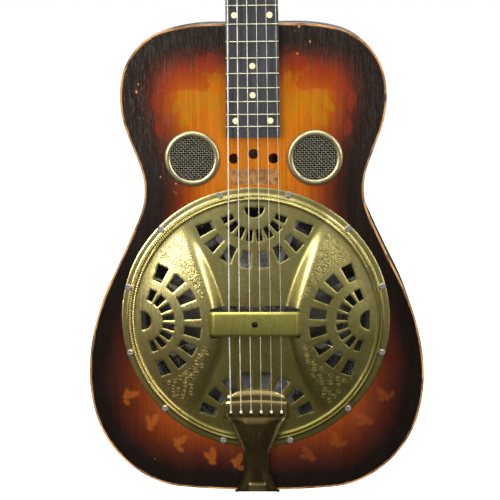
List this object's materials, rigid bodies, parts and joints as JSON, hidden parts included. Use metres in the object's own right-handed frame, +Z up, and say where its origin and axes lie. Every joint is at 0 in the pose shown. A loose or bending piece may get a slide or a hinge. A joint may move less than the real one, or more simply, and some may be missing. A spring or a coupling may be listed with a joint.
{
  "type": "resonator guitar",
  "caption": "Round-neck resonator guitar with a wooden body, spun cone, spider bridge under a pierced pressed coverplate, screened sound holes and open geared tuners.",
  "frame": {"origin": "centre line of the neck at the nut, on the plane of the soundboard, where a wall hanger's yoke holds the neck", "axes": "+Z up along the neck from the tail to the headstock, +Y from the strings to the back, +X to the treble side"},
  "size_m": [0.3614, 0.1038, 1.0194],
  "materials": {
    "sunburst_top": "sunburst lacquer, aged and checked",
    "body_wood": "dark brown lacquer",
    "neck_wood": "dark brown lacquer",
    "inner_wood": "unfinished",
    "binding": "aged cream",
    "fretboard_wood": "ebonised, satin",
    "fret_metal": "worn",
    "pearl": "aged cream",
    "bone": "polished",
    "plate_brass": "tarnished gold plating",
    "tail_brass": "tarnished gold plating",
    "rim_brass": "tarnished gold plating",
    "screen_wire": "dark woven wire",
    "nickel": "worn nickel plating",
    "gear_brass": "oiled",
    "aluminium": "spun and cast",
    "screw_steel": "plain",
    "string_wire": "drawn and wound",
    "button_plastic": "aged ivory"
  },
  "bodies": {
    "guitar": {"top": "sunburst_top", "back": "body_wood", "bindings": "binding", "side_bass": "body_wood", "side_treble": "body_wood", "linings": "inner_wood", "neck_block": "inner_wood", "end_block": "inner_wood", "soundwell": "inner_wood", "neck_stick": "inner_wood", "cone": "aluminium", "spider": "aluminium", "saddles": "inner_wood", "coverplate": "plate_brass", "coverplate_screws": "nickel", "screen_rims": "rim_brass", "screen_meshes": "screen_wire", "tailpiece": "tail_brass", "end_pin": "nickel", "neck": "neck_wood", "fretboard": "fretboard_wood", "frets": "fret_metal", "position_dots": "pearl", "nut": "bone", "string_1": "string_wire", "string_2": "string_wire", "string_3": "string_wire", "string_4": "string_wire", "string_5": "string_wire", "string_6": "string_wire", "tuner_plate_bass": "nickel", "tuner_plate_treble": "nickel", "tuner_plate_screws": "nickel", "post_bushings": "nickel"},
    "key_1": {"button_1": "button_plastic", "worm_1": "nickel"},
    "post_1": {"post_1": "nickel", "gear_1": "gear_brass"},
    "key_2": {"button_2": "button_plastic", "worm_2": "nickel"},
    "post_2": {"post_2": "nickel", "gear_2": "gear_brass"},
    "key_3": {"button_3": "button_plastic", "worm_3": "nickel"},
    "post_3": {"post_3": "nickel", "gear_3": "gear_brass"},
    "key_4": {"button_4": "button_plastic", "worm_4": "nickel"},
    "post_4": {"post_4": "nickel", "gear_4": "gear_brass"},
    "key_5": {"button_5": "button_plastic", "worm_5": "nickel"},
    "post_5": {"post_5": "nickel", "gear_5": "gear_brass"},
    "key_6": {"button_6": "button_plastic", "worm_6": "nickel"},
    "post_6": {"post_6": "nickel", "gear_6": "gear_brass"},
    "tension_screw": {"tension_screw": "screw_steel"}
  },
  "joints": [
    {"name": "key_1_turn", "type": "hinge", "parent": "guitar", "child": "key_1", "pos_m": [-0.0215, 0.02862, 0.03774], "axis": [-1, 0, 0], "continuous": true},
    {"name": "post_1_turn", "type": "hinge", "parent": "guitar", "child": "post_1", "pos_m": [-0.0215, 0.01161, 0.05177], "axis": [0, -0.9703, 0.2419], "continuous": true},
    {"name": "key_2_turn", "type": "hinge", "parent": "guitar", "child": "key_2", "pos_m": [-0.0215, 0.03757, 0.07364], "axis": [-1, 0, 0], "continuous": true},
    {"name": "post_2_turn", "type": "hinge", "parent": "guitar", "child": "post_2", "pos_m": [-0.0215, 0.02056, 0.08768], "axis": [0, -0.9703, 0.2419], "continuous": true},
    {"name": "key_3_turn", "type": "hinge", "parent": "guitar", "child": "key_3", "pos_m": [-0.0215, 0.04652, 0.10954], "axis": [-1, 0, 0], "continuous": true},
    {"name": "post_3_turn", "type": "hinge", "parent": "guitar", "child": "post_3", "pos_m": [-0.0215, 0.02951, 0.12358], "axis": [0, -0.9703, 0.2419], "continuous": true},
    {"name": "key_4_turn", "type": "hinge", "parent": "guitar", "child": "key_4", "pos_m": [0.0215, 0.04652, 0.10954], "axis": [1, 0, 0], "continuous": true},
    {"name": "post_4_turn", "type": "hinge", "parent": "guitar", "child": "post_4", "pos_m": [0.0215, 0.02951, 0.12358], "axis": [0, -0.9703, 0.2419], "continuous": true},
    {"name": "key_5_turn", "type": "hinge", "parent": "guitar", "child": "key_5", "pos_m": [0.0215, 0.03757, 0.07364], "axis": [1, 0, 0], "continuous": true},
    {"name": "post_5_turn", "type": "hinge", "parent": "guitar", "child": "post_5", "pos_m": [0.0215, 0.02056, 0.08768], "axis": [0, -0.9703, 0.2419], "continuous": true},
    {"name": "key_6_turn", "type": "hinge", "parent": "guitar", "child": "key_6", "pos_m": [0.0215, 0.02862, 0.03774], "axis": [1, 0, 0], "continuous": true},
    {"name": "post_6_turn", "type": "hinge", "parent": "guitar", "child": "post_6", "pos_m": [0.0215, 0.01161, 0.05177], "axis": [0, -0.9703, 0.2419], "continuous": true},
    {"name": "tension_screw_turn", "type": "hinge", "parent": "guitar", "child": "tension_screw", "pos_m": [0, 0, -0.6264], "axis": [0, -1, 0], "range_deg": [-180, 180]}
  ],
  "couplings": [
    {"joint": "post_1_turn", "follows": "key_1_turn", "ratio": 0.071429},
    {"joint": "post_2_turn", "follows": "key_2_turn", "ratio": 0.071429},
    {"joint": "post_3_turn", "follows": "key_3_turn", "ratio": 0.071429},
    {"joint": "post_4_turn", "follows": "key_4_turn", "ratio": -0.071429},
    {"joint": "post_5_turn", "follows": "key_5_turn", "ratio": -0.071429},
    {"joint": "post_6_turn", "follows": "key_6_turn", "ratio": -0.071429}
  ]
}
